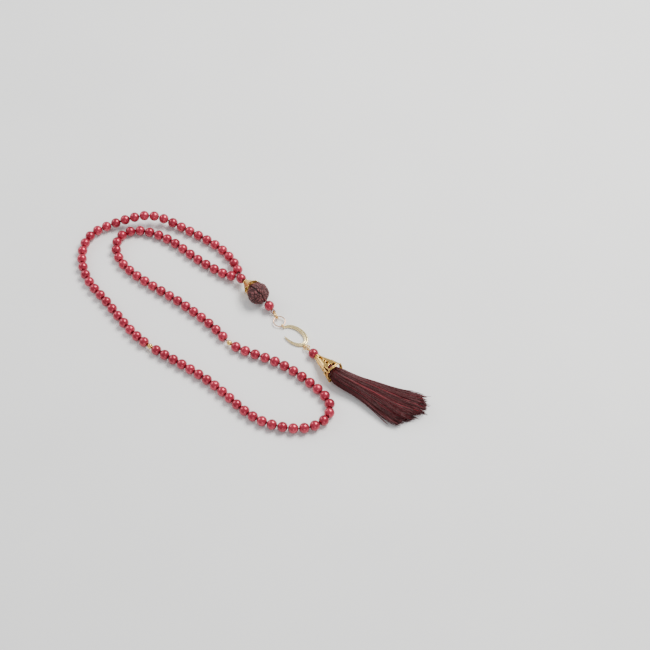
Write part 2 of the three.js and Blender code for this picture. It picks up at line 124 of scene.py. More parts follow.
CAP_ROLL = -math.pi / 4  # the cap lies on one of its four faces
PIN_LOOP_R = 1.7
PIN_LOOP = CAP_APEX - TASSEL_AXIS * 10.7
TASSEL_PEARL = CAP_APEX - TASSEL_AXIS * 4.2
# The skirt: x, y and z of its middle, half its width and half its height.
SKIRT = [
    (80.5, 22.35, 7.2, 4.9, 4.9),
    (82.3, 22.09, 7.4, 5.3, 5.3),
    (85.8, 22, 7.1, 6.8, 6.7),
    (91.5, 23, 6.5, 7.2, 6.4),
    (101.3, 25.6, 5.4, 8.2, 5.7),
    (111.4, 28.3, 4.7, 10.2, 5.1),
    (123.7, 31, 4.1, 12.6, 4.6),
    (136, 34, 3.7, 15.2, 4.2),
    (147.5, 38.4, 3.3, 16.4, 3.8),
]

# Each stretch of the string: its body, the points it passes through, and what is threaded on it: a number
# is that many pearls in one solid, ("slack", mm) is bare string, and a name is a piece of its own.
STRETCHES = [
    ("head_outer", "loop_middle",
     [(-37.5, 40.5, 6.6), (-41.4, 44.6, 5.4), (-51, 48.6, 4.2), (-61.5, 51, 4)],
     [("slack", 2.4), 3]),
    ("left_outer_back", "left_near",
     [(-61.5, 51, 4), (-74, 51.4, 4), (-89, 49.4, 4), (-103, 46.8, 4)],
     [5]),
    ("left_outer_turn", "left_far",
     [(-103, 46.8, 4), (-112.8, 44.6, 4.6), (-122.4, 40.8, 7.6), (-131.4, 34, 10.4), (-138.6, 25.4, 10.2),
      (-145.8, 17, 7.2), (-152, 7.6, 4.4), (-156.2, -3.4, 4), (-155, -15, 4), (-149, -25.2, 4),
      (-139.6, -33.8, 4), (-128, -40.2, 4), (-115.6, -43.8, 4), (-103, -45.4, 4)],
     [4, 4, 4, 4, 3]),
    ("left_outer_front", "left_near",
     [(-103, -45.4, 4), (-88, -48.4, 4), (-74, -51.2, 4), (-61.5, -53, 4)],
     [5]),
    ("front", "loop_middle",
     [(-61.5, -53, 4), (-42.5, -53, 4), (-24, -50.2, 4), (-4, -47.2, 4), (16, -45.4, 4), (36, -46, 4),
      (50, -46.8, 4), (63.4, -45.6, 4)],
     [2, "divider_bead_1", 4, 3, 3, 3]),
    ("right_front", "right_near",
     [(63.4, -45.6, 4), (71, -43.6, 4), (78.6, -40, 4)],
     [2]),
    ("right_turn", "right_far",
     [(78.6, -40, 4), (87.8, -34.8, 4), (96.2, -26.8, 4), (101.6, -16.2, 4), (100.6, -4.8, 4), (93.4, 2, 4),
      (83.6, 4, 4)],
     [4, 4]),
    ("right_back", "right_near",
     [(83.6, 4, 4), (75.6, 4.4, 4), (67.4, 4.6, 4)],
     [2]),
    ("middle", "loop_middle",
     [(67.4, 4.6, 4), (52, 3.8, 4), (36, 0.4, 4), (20, -5.4, 4), (3.2, -10, 4), (-14, -8, 4), (-30, -7.2, 4),
      (-46, -7.6, 4), (-61.5, -8.6, 4)],
     [4, 4, "divider_bead_2", ("slack", 1.6), "counting_bead", 3, 3]),
    ("left_inner_front", "left_near",
     [(-61.5, -8.6, 4), (-75, -10.4, 4), (-90, -12, 4), (-103, -12.8, 4)],
     [5]),
    ("left_inner_turn", "left_far",
     [(-103, -12.8, 4), (-114.2, -12.2, 4), (-125.2, -8.8, 4), (-134, -2, 4), (-137.8, 7, 4), (-135, 16, 4),
      (-127.2, 23, 4), (-115.4, 27.8, 4), (-103, 30.4, 4)],
     [4, 4, 3]),
    ("left_inner_back", "left_near",
     [(-103, 30.4, 4), (-89, 31, 4), (-75, 31.2, 4), (-61.5, 32.6, 4)],
     [5]),
    ("head_inner", "loop_middle",
     [(-61.5, 32.6, 4), (-51.2, 34.3, 4.3), (-41.9, 36, 5.2), (-37.5, 38.9, 6.4)],
     [3, ("slack", 1.2)]),
]
STEPS = 24  # samples to a span of the line

# ---------------------------------------------------------------- mesh helpers


def across(axis):
    """Unit vectors across an axis: level sideways, and upwards."""
    side = axis.cross(UP).normalized()
    return side, side.cross(axis).normalized()


def level(axis):
    return Vector((axis.x, axis.y, 0)).normalized()


def grid_faces(rings, count, wrap_rings=False):
    """Faces between rings of count points each, the last ring joined to the first if wrap_rings."""
    faces = []
    for i in range(rings if wrap_rings else rings - 1):
        a, b = i * count, ((i + 1) % rings) * count
        for j in range(count):
            k = (j + 1) % count
            faces.append((a + j, a + k, b + k, b + j))
    return faces


def new_object(name, points, faces, material, frame_at=None, tones=None):
    """A mesh object from points in layout millimetres. frame_at: (place, axis) gives the object its own
    origin and a local Z along axis, so that a pattern can follow the piece."""
    mesh = bpy.data.meshes.new(name)
    if frame_at is None:
        mesh.from_pydata([at(p) for p in points], [], faces)
        matrix = Matrix.Identity(4)
    else:
        place, axis = frame_at
        side, up = across(axis)
        matrix = Matrix.Translation(at(place)) @ Matrix((
            (side.x, up.x, -axis.x, 0), (side.y, up.y, -axis.y, 0), (side.z, up.z, -axis.z, 0), (0, 0, 0, 1)))
        back = matrix.inverted()
        mesh.from_pydata([back @ at(p) for p in points], [], faces)
    if tones is not None:
        layer = mesh.attributes.new("tone", "FLOAT", "POINT")
        layer.data.foreach_set("value", tones)
    mesh.materials.append(material)
    mesh.validate()
    turned = bmesh.new()
    turned.from_mesh(mesh)
    bmesh.ops.recalc_face_normals(turned, faces=turned.faces)
    turned.to_mesh(mesh)
    turned.free()
    mesh.polygons.foreach_set("use_smooth", [True] * len(mesh.polygons))
    obj = bpy.data.objects.new(name, mesh)
    obj.matrix_world = matrix
    bpy.context.scene.collection.objects.link(obj)
    return obj


class Shape:
    """Points and faces gathered from several closed bodies of one piece."""

    def __init__(self):
        self.points = []
        self.faces = []
        self.tones = []

    def add(self, points, faces, tone=0.5):
        base = len(self.points)
        self.points += points
        self.faces += [tuple(base + i for i in f) for f in faces]
        self.tones += tone if isinstance(tone, list) else [tone] * len(points)
        return self

    def tube(self, path, radius, sides=12, closed=False, tone=0.5, lobes=0, depth=0.0, twist=0.0):
        """A wire along path. radius is a number or one for each point. lobes, depth and twist give it the
        strands of a laid cord: depth is a share of the radius, twist is turns for each millimetre."""
        count = len(path)
        points = []
        normal = None
        run = 0.0
        for i, p in enumerate(path):
            before = path[(i - 1) % count] if closed else path[max(i - 1, 0)]
            after = path[(i + 1) % count] if closed else path[min(i + 1, count - 1)]
            tangent = (after - before).normalized()
            if normal is None:
                other = UP if abs(tangent.z) < 0.9 else Vector((1, 0, 0))
                normal = tangent.cross(other).normalized()
            else:
                normal = (normal - tangent * normal.dot(tangent)).normalized()
            binormal = tangent.cross(normal)
            if i:
                run += (p - path[i - 1]).length
            r = radius[i] if isinstance(radius, (list, tuple)) else radius
            for j in range(sides):
                angle = j * TAU / sides
                rr = r
                if lobes:
                    rr = r * (1 - depth * (0.5 + 0.5 * math.cos(lobes * (angle - run * twist * TAU / lobes))))
                points.append(p + normal * (rr * math.cos(angle)) + binormal * (rr * math.sin(angle)))
        faces = grid_faces(count, sides, wrap_rings=closed)
        if not closed:
            faces.append(tuple(range(sides - 1, -1, -1)))
            faces.append(tuple(range((count - 1) * sides, count * sides)))
        return self.add(points, faces, tone)

    def make(self, name, material, **kw):
        return new_object(name, self.points, self.faces, material, **kw)


def run_lengths(path):
    """The distance along a line of points to each of them."""
    lengths = [0.0]
    for a, b in zip(path, path[1:]):
        lengths.append(lengths[-1] + (b - a).length)
    return lengths


def point_along(path, lengths, distance):
    k = 0
    while k < len(path) - 2 and lengths[k + 1] < distance:
        k += 1
    span = lengths[k + 1] - lengths[k]
    return path[k].lerp(path[k + 1], (distance - lengths[k]) / span if span else 0)


def resample(path, step):
    """Points at an even distance along a line of points."""
    lengths = run_lengths(path)
    count = max(2, round(lengths[-1] / step))
    return [point_along(path, lengths, lengths[-1] * i / count) for i in range(count + 1)]


def wound(centres, side, up, radius, per_turn):
    """Points that wind round a line of centres, per_turn of them to a turn."""
    return [c + side * (radius * math.cos(k * TAU / per_turn)) + up * (radius * math.sin(k * TAU / per_turn))
            for k, c in enumerate(centres)]


def circle(centre, side, up, radius, count):
    return wound([centre] * count, side, up, radius, count)


def smooth_line(points, steps):
    """A centripetal Catmull-Rom line through points, steps samples to a span."""
    points = [Vector(p) for p in points]
    ends = [points[0] * 2 - points[1], *points, points[-1] * 2 - points[-2]]
    out = []
    for i in range(len(points) - 1):
        p0, p1, p2, p3 = ends[i:i + 4]
        d0, d1, d2 = (max((b - a).length, 1e-6) ** 0.5 for a, b in ((p0, p1), (p1, p2), (p2, p3)))
        t1 = ((p1 - p0) / d0 - (p2 - p0) / (d0 + d1) + (p2 - p1) / d1) * d1
        t2 = ((p2 - p1) / d1 - (p3 - p1) / (d1 + d2) + (p3 - p2) / d2) * d1
        square = p1 * -3 + p2 * 3 - t1 * 2 - t2
        cube = p1 * 2 - p2 * 2 + t1 + t2
        for k in range(steps):
            t = k / steps
            out.append(p1 + t1 * t + square * t**2 + cube * t**3)
    return out + [points[-1]]


def finish_piece(obj, body, slot, *nodes):
    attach(obj, body)
    if nodes:
        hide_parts(*nodes)
    return obj


# ---------------------------------------------------------------- materials


class Nodes:
    """A material with a Principled shader, and short ways to add nodes to it."""

    def __init__(self, name, base, roughness, metallic=0.0, **sockets):
        self.material = bpy.data.materials.new(name)
        self.material.use_nodes = True
        self.tree = self.material.node_tree
        self.shader = self.tree.nodes["Principled BSDF"]
        self.set(self.shader, {"Base Color": (*base, 1), "Roughness": roughness, "Metallic": metallic})
        self.set(self.shader, {k.replace("_", " "): v for k, v in sockets.items()})
        self.coords = self.add("TexCoord").outputs["Object"]

    @staticmethod
    def set(node, values):
        for key, value in values.items():
            node.inputs[key].default_value = value

    def add(self, kind, links=None, values=None, **properties):
        node = self.tree.nodes.new("ShaderNode" + kind)
        for key, value in properties.items():
            setattr(node, key, value)
        self.set(node, values or {})
        for key, source in (links or {}).items():
            self.tree.links.new(source, node.inputs[key])
        return node

    def link(self, source, socket):
        self.tree.links.new(source, self.shader.inputs[socket])

    def noise(self, scale, detail=3.0, rough=0.55):
        return self.add("TexNoise", {"Vector": self.coords},
                        {"Scale": scale, "Detail": detail, "Roughness": rough}).outputs["Fac"]

    def ramp(self, fac, *stops):
        node = self.add("ValToRGB", {"Fac": fac})
        elements = node.color_ramp.elements
        while len(elements) < len(stops):
            elements.new(0.5)
        for element, (place, colour) in zip(elements, stops):
            element.position = place
            element.color = (*colour, 1)
        return node.outputs["Color"]

    def map(self, value, low, high, to_low, to_high):
        return self.add("MapRange", {"Value": value}, {
            "From Min": low, "From Max": high, "To Min": to_low, "To Max": to_high}).outputs["Result"]

    def math(self, operation, a, b=None):
        node = self.add("Math", operation=operation)
        for i, value in enumerate((a, b)):
            if value is None:
                continue
            if isinstance(value, (int, float)):
                node.inputs[i].default_value = value
            else:
                self.tree.links.new(value, node.inputs[i])
        return node.outputs[0]

    def mix(self, fac, a, b):
        node = self.add("Mix", data_type="RGBA")
        for i, value in ((0, fac), (6, a), (7, b)):
            if isinstance(value, (int, float)):
                node.inputs[i].default_value = value
            elif isinstance(value, tuple):
                node.inputs[i].default_value = (*value, 1)
            else:
                self.tree.links.new(value, node.inputs[i])
        return node.outputs[2]

    def bump(self, height, strength, distance):
        node = self.add("Bump", {"Height": height}, {"Strength": strength, "Distance": distance})
        return node.outputs["Normal"]


def srgb(code):
    channels = [int(code[i:i + 2], 16) / 255 for i in (0, 2, 4)]
    return tuple(c / 12.92 if c <= 0.04045 else ((c + 0.055) / 1.055) ** 2.4 for c in channels)


def pearl_material(name, deep, mid, light):
    """Pearl lacquer: a tinted, half metallic base under a thin clear coat, with painted shade darkening it
    in the bore and round its mouth, a faint cloudiness and orange peel."""
    m = Nodes(name, srgb(mid), 0.3, 0.55, Coat_Weight=0.35, Coat_Roughness=0.16, Coat_IOR=1.5,
              Specular_IOR_Level=0.5)
    cloud = m.noise(260, 3, 0.6)
    tint = m.ramp(cloud, (0.3, srgb(mid)), (0.72, srgb(light)))
    parts = m.add("SeparateXYZ", {"Vector": m.coords})
    squared = m.math("ADD", m.math("MULTIPLY", parts.outputs["X"], parts.outputs["X"]),
                     m.math("MULTIPLY", parts.outputs["Y"], parts.outputs["Y"]))
    from_axis = m.math("SQRT", squared)
    # Painted shade: the deep colour fills the bore and fades out round its mouth.
    bore_shade = m.map(from_axis, 0.0009, 0.0021, 1.0, 0.0)
    m.link(m.mix(bore_shade, tint, srgb(deep)), "Base Color")
    m.link(m.map(m.noise(900, 2, 0.5), 0.3, 0.7, 0.24, 0.36), "Roughness")
    m.link(m.bump(m.noise(700, 2, 0.5), 0.06, 0.0002), "Normal")
    return m.material


def string_material():
    """Waxed twisted string: dark red, with fibres along the lay."""
    m = Nodes("string", srgb("6b1420"), 0.62, 0, Sheen_Weight=0.35, Sheen_Roughness=0.4)
    fibres = m.noise(2600, 3, 0.6)
    m.link(m.ramp(fibres, (0.25, srgb("4a0c16")), (0.75, srgb("8c2432"))), "Base Color")
    m.link(m.map(fibres, 0.2, 0.8, 0.5, 0.75), "Roughness")
    m.link(m.bump(fibres, 0.35, 0.00008), "Normal")
    return m.material


def gold_material(name, base, deep, rough=(0.12, 0.26), worn=0.35, metallic=1.0):
    """Gold plate on a cast base: bright, slightly uneven in tone, with fine polishing marks."""
    m = Nodes(name, srgb(base), rough[0], metallic)
    patches = m.noise(420, 4, 0.6)
    m.link(m.mix(m.map(patches, 0.35, 0.7, 0.0, worn), srgb(base), srgb(deep)), "Base Color")
    marks = m.noise(1500, 2, 0.5)
    m.link(m.map(marks, 0.3, 0.7, *rough), "Roughness")
    m.link(m.bump(m.noise(900, 3, 0.6), 0.12, 0.00012), "Normal")
    return m.material


def carved_material():
    """A carved dark seed: plum brown, with painted shade near black in the cuts and a painted sheen of
    lighter plum brown on the knobs.
    """
    m = Nodes("carved", srgb("4a2a2c"), 0.55, 0, Specular_IOR_Level=0.45)
    height = m.add("Attribute", attribute_name="tone").outputs["Fac"]
    grain = m.noise(1400, 4, 0.6)
    mixed = m.math("ADD", height, m.math("MULTIPLY", m.math("SUBTRACT", grain, 0.5), 0.35))
    # Painted shade and sheen: the carving's height runs the colour from near black in the cuts to light plum
    # brown on the knobs.
    m.link(m.ramp(mixed, (0.05, srgb("190808")), (0.5, srgb("4a2021")), (0.82, srgb("6e3a3b")),
                  (1.0, srgb("8c5656"))), "Base Color")
    m.link(m.map(mixed, 0.0, 1.0, 0.75, 0.42), "Roughness")
    m.link(m.bump(grain, 0.4, 0.0002), "Normal")
    return m.material


def thread_material():
    """Silky tassel thread: dark red-brown, every strand a little different."""
    m = Nodes("thread", srgb("3c1a20"), 0.42, 0, Specular_IOR_Level=0.35, Sheen_Weight=0.06,
              Sheen_Roughness=0.35, Sheen_Tint=(*srgb("a05060"), 1))
    tone = m.add("Attribute", attribute_name="tone").outputs["Fac"]
    fibres = m.noise(1800, 3, 0.6)
    mixed = m.math("ADD", tone, m.math("MULTIPLY", m.math("SUBTRACT", fibres, 0.5), 0.3))
    m.link(m.ramp(mixed, (0.1, srgb("260b0c")), (0.5, srgb("4a1518")), (0.85, srgb("641822")),
                  (1.0, srgb("90222e"))), "Base Color")
    m.link(m.map(fibres, 0.2, 0.8, 0.34, 0.52), "Roughness")
    m.link(m.bump(fibres, 0.25, 0.00008), "Normal")
    return m.material


def floor_material():
    m = Nodes("floor", (0.86, 0.86, 0.85), 0.7, 0)
    m.link(m.ramp(m.noise(9, 3, 0.5), (0.3, (0.85, 0.85, 0.84)), (0.7, (0.88, 0.88, 0.87))), "Base Color")
    return m.material


# Each pearl: the painted shade colour for its bore, its middle tone and its lighter clouds.
PEARLS = [
    pearl_material("pearl_a", "4c0610", "9c1c34", "b23046"),
    pearl_material("pearl_b", "46050e", "92182e", "a82a40"),
    pearl_material("pearl_c", "520812", "a62139", "bc374d"),
]
STRING = string_material()
GOLD = gold_material("gold", "f0c674", "d8a54c", (0.15, 0.3), 0.4)
PALE_GOLD = gold_material("pale_gold", "f4dfa8", "e2c47c", (0.16, 0.28), 0.5, 0.95)
ROSE_GOLD = gold_material("rose_gold", "eebc94", "d99a70")
CARVED = carved_material()
THREAD = thread_material()

# ---------------------------------------------------------------- the strung loop


def laid_out():
    """The line of the string through every stretch, and where each pearl's ends are on it."""
    points = []
    starts = []
    for _, _, route, _ in STRETCHES:
        starts.append(len(points))
        points += [Vector(p) for p in route[:-1]]
    points.append(Vector(STRETCHES[-1][2][-1]))
    line = smooth_line(points, STEPS)
    out = []
    for (name, body, route, threaded), start in zip(STRETCHES, starts):
        samples = line[start * STEPS:(start + len(route) - 1) * STEPS + 1]
        lengths = run_lengths(samples)
        taken = 0.0
        pearls = 0
        for item in threaded:
            if isinstance(item, tuple):
                taken += item[1]
            elif isinstance(item, int):
                pearls += item
            elif item.startswith("divider"):
                taken += DIVIDER_PITCH
            else:
                pearls += 1
        pitch = (lengths[-1] - taken) / pearls
        place = 0.0
        junctions = [point_along(samples, lengths, place)]
        items = []
        group = 0
        for item in threaded:
            if isinstance(item, tuple):
                steps = [("slack", None, item[1])]
            elif isinstance(item, int):
                group += 1
                steps = [("pearl", f"pearls_{name}_{group}", pitch)] * item
            else:
                steps = [(item, item, DIVIDER_PITCH if item.startswith("divider") else pitch)]
            for kind, node, length in steps:
                place += length
                junctions.append(point_along(samples, lengths, place))
                items.append((kind, node, junctions[-2], junctions[-1]))
        out.append((name, body, junctions, items))
    return out


def turned_points(place, axis, profile, sides, roll=0.0):
    side, up = across(axis)
    points = []
    for s, r in profile:
        for j in range(sides):
            angle = roll + j * TAU / sides
            points.append(place + axis * s + side * (r * math.cos(angle)) + up * (r * math.sin(angle)))
    return points


def pearl_profile(radius, mouth, bore, steps=15):
    """Round the ball from one mouth to the other, a small rolled lip at each, and back through the bore."""
    first = math.asin((mouth + 0.12) / radius)
    ball = []
    for i in range(steps + 1):
        angle = first + (math.pi - 2 * first) * i / steps
        ball.append((-radius * math.cos(angle), radius * math.sin(angle)))
    end = ball[-1][0]
    lip = [(end + 0.03, mouth), (end - 0.02, mouth - 0.12), (end - 0.16, bore + 0.04), (end - 0.5, bore)]
    inner = [(-s, r) for s, r in reversed(lip)]
    return ball + lip + inner


def make_pearl(name, place, axis, body, node, random_turn, bore=BORE_R, mouth=MOUTH_R):
    sides = 40
    profile = pearl_profile(BEAD_R, mouth, bore)
    points = turned_points(place, axis, profile, sides, random_turn.uniform(0, TAU))
    faces = grid_faces(len(profile), sides, wrap_rings=True)
    obj = new_object(name, points, faces, random_turn.choice(PEARLS), frame_at=(place, axis))
    return finish_piece(obj, body, "pearl", node)


def make_divider(name, place, axis, body):
    """A small round gold spacer with a fine rolled rim at each end of its bore."""
    sides, steps = 36, 12
    rim = [(1.98, 0.9), (2.02, 1.12), (1.86, 1.26), (1.7, 1.2)]
    first = 0.62  # the angle from the bore at which the ball meets the rim
    profile = [(-s, r) for s, r in rim]
    for i in range(steps + 1):
        angle = first + (math.pi - 2 * first) * i / steps
        profile.append((-DIVIDER_R * math.cos(angle), DIVIDER_R * math.sin(angle)))
    profile += reversed(rim)
    obj = new_object(name + "_ball", turned_points(place, axis, profile, sides),
                     grid_faces(len(profile), sides, wrap_rings=True), GOLD, frame_at=(place, axis))
    return finish_piece(obj, body, "gold", name)


LOOP = laid_out()


def make_loop():
    turn = random.Random(11)
    for name, body, _, items in LOOP:
        number = 0
        for kind, node, a, b in items:
            if kind == "slack":
                continue
            place, axis = (a + b) / 2, (b - a).normalized()
            if kind == "pearl":
                number += 1
                make_pearl(f"pearl_{name}_{number:02d}", place, axis, body, node, turn)
            elif kind == "counting_bead":
                make_pearl("counting_pearl", place, axis, "counting_bead", node, turn)
            else:
                make_divider(node, place, axis, kind.replace("_bead", ""))


LEFT_FOLD_X = -61.5  # where the loop's left end folds

# The string's pieces: each is one length that runs across a fold, or lies on one body; only a piece on one
# body is attached to it.
STRING_PIECES = [
    ("string_head_to_back", ["head_outer", "left_outer_back"], ("loop_middle", "left_near"), LEFT_FOLD_X),
    ("string_outer_turn", ["left_outer_turn"], ("left_far",), None),
    ("string_front_strand", ["left_outer_front", "front"], ("left_near", "loop_middle"), LEFT_FOLD_X),
    ("string_right_end", ["right_front", "right_turn", "right_back"], ("right_near", "right_far"), None),
    ("string_middle_strand", ["middle", "left_inner_front"], ("loop_middle", "left_near"), LEFT_FOLD_X),
    ("string_inner_turn", ["left_inner_turn"], ("left_far",), None),
    ("string_back_to_head", ["left_inner_back", "head_inner"], ("left_near", "loop_middle"), LEFT_FOLD_X),
]


def make_strings():
    by_name = {name: junctions for name, _, junctions, _ in LOOP}
    for name, stretches, bodies, fold_x in STRING_PIECES:
        line = []
        for stretch in stretches:
            line += by_name[stretch] if not line else by_name[stretch][1:]
        path = resample(line, 0.45)
        shape = Shape().tube(path, STRING_R, sides=12, lobes=3, depth=0.16, twist=0.42)
        obj = shape.make(name, STRING)
        nodes = [f"string_{stretch}" for stretch in stretches]
        if name == "string_right_end":
            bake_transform(obj)
        elif fold_x is not None:
            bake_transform(obj)
        else:
            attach(obj, bodies[0])
        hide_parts(*nodes)


make_strings()
make_loop()

# ---------------------------------------------------------------- head bead, cap and cord


def make_head_pearls():
    turn = random.Random(23)
    make_pearl("collector_pearl", COLLECTOR, COLLECTOR_AXIS, "head", "collector_bead", turn, 1.15, 1.5)
    make_pearl("head_lower_pearl", LOWER_PEARL, LOWER_AXIS, "lower_pearl", "lower_pearl", turn, 1.15, 1.5)
    make_pearl("tassel_top_pearl", TASSEL_PEARL, TASSEL_AXIS, "tassel_pearl", "tassel_pearl", turn, 0.85, 1.2)


def make_cap():
    """Six leaf petals joined in a cone, each with a midrib and a lip that turns out a little."""
    outward = -HEAD_AXIS
    side, up = across(outward)
    around, rows = 180, 20
    length = PETAL_APEX - PETAL_TIP

    def skin(inset):
        points = []
        for i in range(rows + 1):
            f = i / rows
            for j in range(around):
                angle = j * TAU / around
                wave = abs(math.sin(PETALS / 2 * angle))
                rim = PETAL_TIP + (PETAL_NOTCH - PETAL_TIP) * wave**1.35
                s = PETAL_APEX - f * (PETAL_APEX - rim)
                radius = 1.9 + 6 * (max(PETAL_APEX - s, 0) / length) ** 1.1
                rib = math.exp(-((wave / 0.16) ** 2))
                seam = math.exp(-(((1 - wave) / 0.05) ** 2))
                side_rib = math.exp(-(((wave - 0.55) / 0.12) ** 2))
                relief = 0.32 * rib * min(1, 2.5 * f) * (1 - 0.5 * f) + 0.1 * side_rib * f - 0.22 * seam * f
                radius += relief + 0.35 * f**10 - inset
                p = HEAD + outward * s
                points.append(p + side * (radius * math.cos(angle)) + up * (radius * math.sin(angle)))
        return points

    outer, inner = skin(0.0), skin(0.55)
    count = len(outer)
    faces = grid_faces(rows + 1, around)
    faces += [tuple(count + i for i in reversed(f)) for f in grid_faces(rows + 1, around)]
    for ring in (0, rows):
        for j in range(around):
            a, b = ring * around + j, ring * around + (j + 1) % around
            faces.append((a, b, count + b, count + a))
    shape = Shape().add(outer + inner, faces)
    collar = circle(HEAD + outward * (PETAL_APEX - 0.1), side, up, 1.85, 40)
    shape.tube(collar, 0.38, sides=10, closed=True)
    obj = shape.make("petal_cap", GOLD, frame_at=(HEAD + outward * 11, HEAD_AXIS))
    finish_piece(obj, "head", "gold", "bead_cap")


CLEFTS = 5


def carved_depth(angle, polar, direction):
    """How deep the carving is, from 0 on top of a knob to 1 in a cleft: knobs that run in rough rows from
    pole to pole, parted by five clefts that wander a little."""
    wander = Vector((noise.noise(direction * 2.1), noise.noise(direction * 2.1 + Vector((7, 0, 0))), 0)) * 0.5
    around = Vector((math.cos(angle), math.sin(angle), 0)) * (2.9 * math.sin(polar) ** 0.6)
    cell = noise.voronoi((around + Vector((0, 0, polar * 2.3)) + wander) * 1.35)[0]
    knob = min(1.0, (cell[1] - cell[0]) * 1.9) ** 0.55
    small = noise.voronoi(direction * 9)[0]
    grain = min(1.0, (small[1] - small[0]) * 1.6)
    place = angle / TAU * CLEFTS + 0.14 * noise.noise(direction * 2.4 + Vector((9, 0, 0)))
    cleft = math.exp(-(((place - round(place)) / 0.05) ** 2))
    fade = math.sin(polar) ** 0.3
    depth = 0.72 * (1 - knob) + 0.2 * (1 - grain) + 0.12 * noise.noise(direction * 3)
    return max(0.0, min(1.0, depth * fade + 0.8 * cleft * fade))


def make_head_bead():
    around, rows = 280, 170
    mouth, bore = 1.8, 1.3
    side, up = across(HEAD_AXIS)
    first = math.asin(mouth / HEAD_R)
    points, tones = [], []
    for i in range(rows + 1):
        polar = first + (math.pi - 2 * first) * i / rows
        for j in range(around):
            angle = j * TAU / around
            out = side * math.cos(angle) + up * math.sin(angle)
            direction = HEAD_AXIS * -math.cos(polar) + out * math.sin(polar)
            own = Vector((math.cos(angle) * math.sin(polar), math.sin(angle) * math.sin(polar),
                          math.cos(polar)))
            depth = carved_depth(angle, polar, own)
            points.append(HEAD + direction * (HEAD_R - 0.02 - 1.25 * depth))
            # The tone is the carving's height, which the carved material turns into painted shade in the cuts
            # and painted sheen on the knobs.
            tones.append(1 - depth)
    end = HEAD_R * math.cos(first)
    for s in (end - 0.6, -end + 0.6):
        for j in range(around):
            angle = j * TAU / around
            points.append(HEAD + HEAD_AXIS * s + (side * math.cos(angle) + up * math.sin(angle)) * bore)
            # A low tone paints the bore near black, as shade.
            tones.append(0.1)
    obj = new_object("carved_head_bead", points, grid_faces(rows + 3, around, wrap_rings=True), CARVED,
                     frame_at=(HEAD, HEAD_AXIS), tones=tones)
    finish_piece(obj, "head_bead", "carved", "head_bead")


def make_head_cord():
    """Both string ends twisted together through the head, ending in a bound loop round the oval link."""
    ends = [
        COLLECTOR + COLLECTOR_AXIS * 3.6, COLLECTOR - COLLECTOR_AXIS * 4, HEAD - HEAD_AXIS * PETAL_APEX,
        HEAD - HEAD_AXIS * HEAD_R, HEAD + HEAD_AXIS * HEAD_R, LOWER_PEARL - LOWER_AXIS * 4,
        LOWER_PEARL + LOWER_AXIS * 4.3,
    ]
    shape = Shape().tube(resample(ends, 0.4), CORD_R, sides=16, lobes=2, depth=0.22, twist=0.28)
    axis = (CORD_LOOP - ends[-1]).normalized()
    side, up = across(axis)
    loop = circle(CORD_LOOP, axis, side, 1.5, 48)
    shape.tube(loop, 0.45, sides=12, closed=True, lobes=2, depth=0.18, twist=0.42)
    whipping = [ends[-1] + axis * (0.4 * k / 60 - 0.35) for k in range(61)]
    shape.tube(wound(whipping, side, up, 0.78, 20), 0.1, sides=6)
    finish_piece(shape.make("head_cord_twist", STRING), "head", "string", "head_cord")


make_head_pearls()
make_cap()
make_head_bead()
make_head_cord()

# ---------------------------------------------------------------- chain and crescent


def loop_points(centre, long, short, half_long, half_short, steps, gap=0.0):
    """A closed oval, or one with its two ends a gap apart (in turns) on its far short side."""
    if not gap:
        turns = [i / steps for i in range(steps)]
    else:
        turns = [gap / 2 + (1 - gap) * i / steps for i in range(steps + 1)]
    shift = 0.0 if not gap else 0.3
    return [centre + long * (half_long * math.cos((t + shift) * TAU))
            + short * (half_short * math.sin((t + shift) * TAU)) for t in turns]


def make_chain():
    axis = (LINK_END - LINK_START).normalized()
    _, up = across(axis)
    path = loop_points((LINK_START + LINK_END) / 2, axis, up, (LINK_END - LINK_START).length / 2,
                       LINK_HALF_HEIGHT, 64)
    finish_piece(Shape().tube(path, LINK_WIRE_R, 14, closed=True).make("oval_link_wire", GOLD),
                 "oval_link", "gold", "oval_link")
    axis = (EYELET - LINK_END).normalized()
    side, _ = across(axis)
    path = loop_points(RING, axis, side, RING_R, RING_R, 90, gap=0.006)
    finish_piece(Shape().tube(path, WIRE_R, 14).make("upper_jump_ring", ROSE_GOLD),
                 "upper_ring", "gold", "upper_ring")
    axis = (PIN_LOOP - FAR_EYELET).normalized()
    side, _ = across(axis)
    path = loop_points(LOWER_RING, axis, side, LOWER_RING_R, LOWER_RING_R, 64, gap=0.01)
    finish_piece(Shape().tube(path, WIRE_R, 14).make("lower_jump_ring", GOLD),
                 "lower_ring", "gold", "lower_ring")


